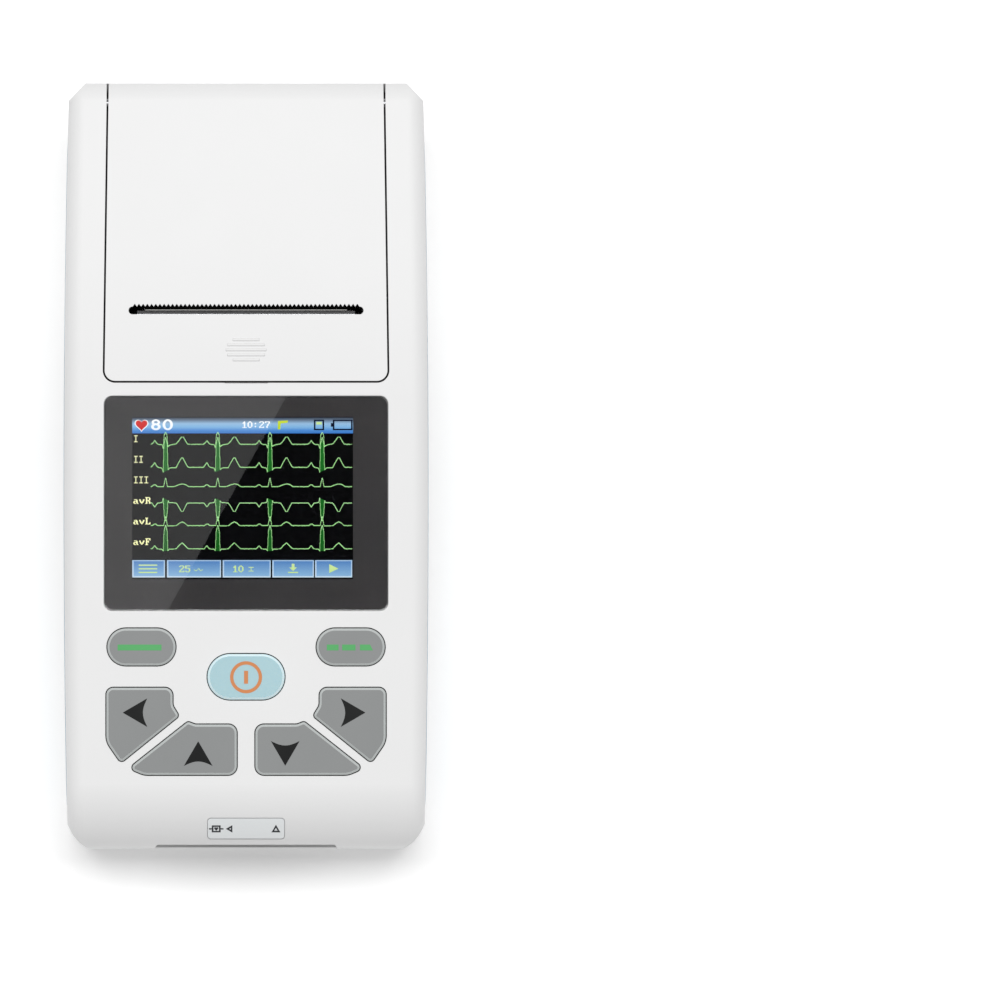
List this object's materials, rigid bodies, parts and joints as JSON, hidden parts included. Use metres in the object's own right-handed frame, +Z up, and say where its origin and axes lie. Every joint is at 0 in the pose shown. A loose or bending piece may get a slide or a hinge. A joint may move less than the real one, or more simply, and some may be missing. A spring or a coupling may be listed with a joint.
{
  "type": "handheld ecg machine",
  "caption": "Handheld ECG machine with a colour display, rubber keys, a patient connector on its end, a DC inlet and a thermal printer under a hinged paper door.",
  "frame": {"origin": "middle of the bounding box in x and y, with z = 0 on the surface the machine rests on", "axes": "+Z up as it rests; +Y from the connector end to the paper end, level; +X to the right seen from above with the connector end towards the viewer; the face is tilted 8.6 degrees about X"},
  "size_m": [0.0906, 0.1906, 0.0593],
  "materials": {
    "case_white": "satin moulded plastic",
    "door_white": "satin moulded plastic",
    "base_white": "satin moulded plastic",
    "key_grey": "fine matt elastomer",
    "key_blue": "translucent pale blue elastomer",
    "trim_blue": "satin moulded plastic",
    "window_glass": "gloss with smoked border",
    "lcd_cell": "gloss",
    "backlight_white": "diffusing film",
    "frame_grey": "moulded, light texture",
    "board_green": "solder mask",
    "flex_amber": "polyimide film",
    "contact_gold": "bright plated",
    "shell_tin": "tinned, semi-bright",
    "plastic_black": "moulded, matt",
    "insulator_white": "moulded, matt",
    "steel_bright": "ground",
    "screw_zinc": "zinc plated",
    "sink_aluminium": "extruded",
    "head_ceramic": "glazed ceramic",
    "gear_nylon": "moulded nylon",
    "pinion_brass": "machined",
    "bush_bronze": "sintered bronze",
    "platen_rubber": "ground rubber",
    "motor_can": "zinc-coated steel",
    "trough_grey": "moulded, light texture",
    "paper_white": "coated thermal paper",
    "core_card": "wound card",
    "cell_wrap": "shrink wrap",
    "label_blue": "printed film"
  },
  "bodies": {
    "machine": {"top_case": "case_white", "bottom_case": "base_white", "battery_cover": "base_white", "left_trim": "trim_blue", "right_trim": "trim_blue", "display_window": "window_glass", "lcd_panel": "lcd_cell", "lcd_backlight": "backlight_white", "lcd_carrier": "frame_grey", "lcd_flex": "flex_amber", "key_board": "board_green", "main_board": "board_green", "keypad_mat": "insulator_white", "dome_contacts": "steel_bright", "board_spacers": "contact_gold", "board_screws": "screw_zinc", "case_screws": "screw_zinc", "battery_cover_screws": "screw_zinc", "printer_screws": "screw_zinc", "buzzer": "plastic_black", "dc_jack_body": "plastic_black", "dc_jack_pin": "contact_gold", "connector_front_shell": "shell_tin", "connector_rear_shell": "shell_tin", "connector_insulator": "plastic_black", "connector_contacts": "contact_gold", "connector_jackscrews": "screw_zinc", "label_plate": "label_blue", "door_hinge_pin": "steel_bright", "battery_cells": "cell_wrap", "printer_frame": "frame_grey", "thermal_head": "head_ceramic", "heat_sink": "sink_aluminium", "head_springs": "steel_bright", "stepper_motor": "motor_can", "idler_pin": "steel_bright", "paper_spindle": "trough_grey", "paper_trough": "trough_grey", "paper_lead": "paper_white"},
    "door": {"paper_door": "door_white", "tear_bar": "steel_bright", "platen_bushings": "bush_bronze"},
    "platen": {"platen_roller": "platen_rubber", "platen_shaft": "steel_bright", "platen_gear": "gear_nylon"},
    "idler": {"idler_gear": "gear_nylon"},
    "motor_rotor": {"motor_pinion": "pinion_brass"},
    "roll": {"paper_roll": "paper_white", "paper_core": "core_card"},
    "left_oval_key": {"left_oval_key": "key_grey"},
    "right_oval_key": {"right_oval_key": "key_grey"},
    "power_key": {"power_key": "key_blue"},
    "left_arrow_key": {"left_arrow_key": "key_grey"},
    "right_arrow_key": {"right_arrow_key": "key_grey"},
    "up_arrow_key": {"up_arrow_key": "key_grey"},
    "down_arrow_key": {"down_arrow_key": "key_grey"}
  },
  "joints": [
    {"name": "door_hinge", "type": "hinge", "parent": "machine", "child": "door", "pos_m": [0, 0.0871, 0.05412], "axis": [-1, 0, 0], "range_deg": [0, 100]},
    {"name": "platen_spin", "type": "hinge", "parent": "door", "child": "platen", "pos_m": [0, 0.04089, 0.04937], "axis": [1, 0, 0], "continuous": true},
    {"name": "idler_spin", "type": "hinge", "parent": "machine", "child": "idler", "pos_m": [0.033, 0.04017, 0.0414], "axis": [1, 0, 0], "continuous": true},
    {"name": "motor_spin", "type": "hinge", "parent": "machine", "child": "motor_rotor", "pos_m": [0.032, 0.0328, 0.03465], "axis": [1, 0, 0], "continuous": true},
    {"name": "roll_spin", "type": "hinge", "parent": "machine", "child": "roll", "pos_m": [0, 0.068, 0.02657], "axis": [1, 0, 0], "continuous": true},
    {"name": "left_oval_key_press", "type": "slide", "parent": "machine", "child": "left_oval_key", "axis": [0, 0.1495, -0.9888], "range_m": [0, 0.0009], "stiffness_N_per_m": 1200},
    {"name": "right_oval_key_press", "type": "slide", "parent": "machine", "child": "right_oval_key", "axis": [0, 0.1495, -0.9888], "range_m": [0, 0.0009], "stiffness_N_per_m": 1200},
    {"name": "power_key_press", "type": "slide", "parent": "machine", "child": "power_key", "axis": [0, 0.1495, -0.9888], "range_m": [0, 0.0009], "stiffness_N_per_m": 1200},
    {"name": "left_arrow_key_press", "type": "slide", "parent": "machine", "child": "left_arrow_key", "axis": [0, 0.1495, -0.9888], "range_m": [0, 0.0009], "stiffness_N_per_m": 1200},
    {"name": "right_arrow_key_press", "type": "slide", "parent": "machine", "child": "right_arrow_key", "axis": [0, 0.1495, -0.9888], "range_m": [0, 0.0009], "stiffness_N_per_m": 1200},
    {"name": "up_arrow_key_press", "type": "slide", "parent": "machine", "child": "up_arrow_key", "axis": [0, 0.1495, -0.9888], "range_m": [0, 0.0009], "stiffness_N_per_m": 1200},
    {"name": "down_arrow_key_press", "type": "slide", "parent": "machine", "child": "down_arrow_key", "axis": [0, 0.1495, -0.9888], "range_m": [0, 0.0009], "stiffness_N_per_m": 1200}
  ],
  "couplings": [
    {"joint": "idler_spin", "follows": "platen_spin", "ratio": -1.6667},
    {"joint": "motor_spin", "follows": "platen_spin", "ratio": 5},
    {"joint": "roll_spin", "follows": "platen_spin", "ratio": -0.24615}
  ]
}
